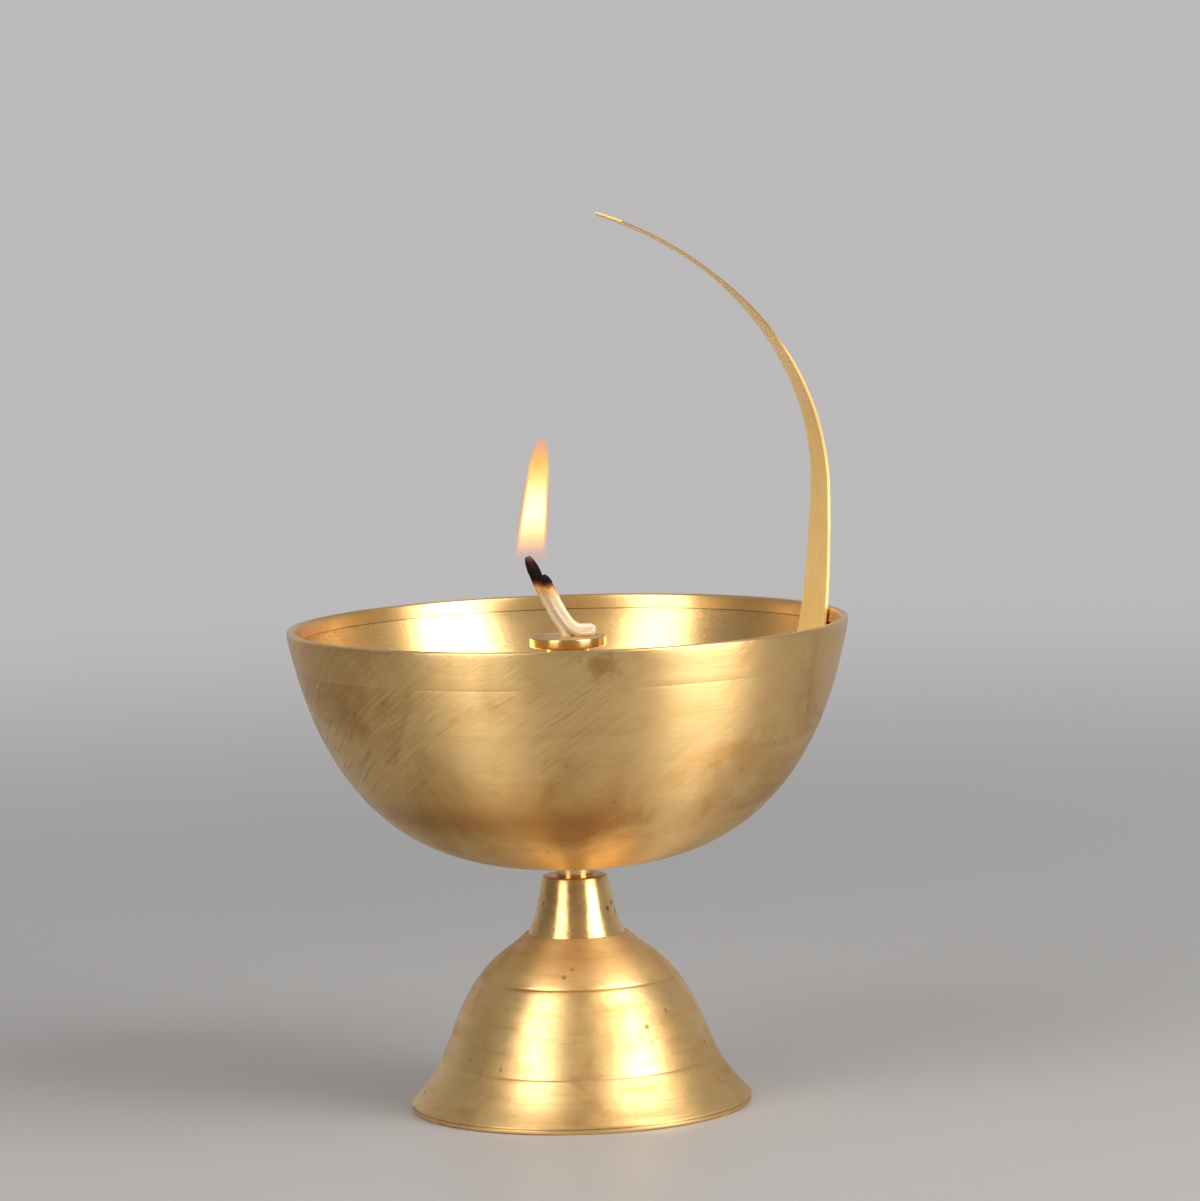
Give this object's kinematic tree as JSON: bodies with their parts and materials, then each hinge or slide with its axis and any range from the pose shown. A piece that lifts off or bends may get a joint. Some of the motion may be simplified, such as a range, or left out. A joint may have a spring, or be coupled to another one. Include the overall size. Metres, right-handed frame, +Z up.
{
  "type": "oil lamp",
  "caption": "Brass oil lamp: a half-round oil bowl on a bell foot, with a wick disc on a centre post and a tapered strip handle that arches over the bowl.",
  "frame": {"origin": "on the lamp's axis, at the surface it stands on", "axes": "+Z up along the lamp's axis; +X to the right and -Y towards the viewer of the picture"},
  "size_m": [0.0998, 0.0998, 0.1591],
  "materials": {
    "satin_brass": "satin, brushed by hand",
    "turned_brass": "satin, turned",
    "polished_brass": "polished, turned",
    "sheet_brass": "brushed lengthwise",
    "seal_fibre": "oiled fibre ring",
    "cotton": "cotton strand, charred at the tip"
  },
  "bodies": {
    "pedestal": {"foot_bell": "turned_brass", "neck_collar": "polished_brass", "foot_nut": "satin_brass"},
    "washer": {"seat_washer": "polished_brass"},
    "bowl_unit": {"bowl": "satin_brass", "bowl_stud": "polished_brass", "floor_seal": "seal_fibre", "wick_post": "polished_brass", "handle_blade": "sheet_brass", "handle_rivet_1": "polished_brass", "handle_rivet_2": "polished_brass"},
    "wick_holder": {"wick_disc": "polished_brass"},
    "wick": {"wick_strand": "cotton", "wick_side_strand": "cotton"}
  },
  "joints": [
    {"name": "bowl_rise", "type": "slide", "parent": "pedestal", "child": "washer", "axis": [0, 0, 1], "range_m": [0, 0.00481]},
    {"name": "bowl_unscrew", "type": "hinge", "parent": "washer", "child": "bowl_unit", "pos_m": [0, 0, 0.0417], "axis": [0, 0, 1], "range_deg": [0, 2160]},
    {"name": "disc_lift", "type": "slide", "parent": "bowl_unit", "child": "wick_holder", "axis": [0, 0, 1], "range_m": [0, 0.031]},
    {"name": "wick_feed", "type": "slide", "parent": "wick_holder", "child": "wick", "axis": [0, 0, 1], "range_m": [0, 0.006]}
  ],
  "couplings": [
    {"joint": "bowl_rise", "follows": "bowl_unscrew", "m_per_rad": 0.00012732}
  ]
}
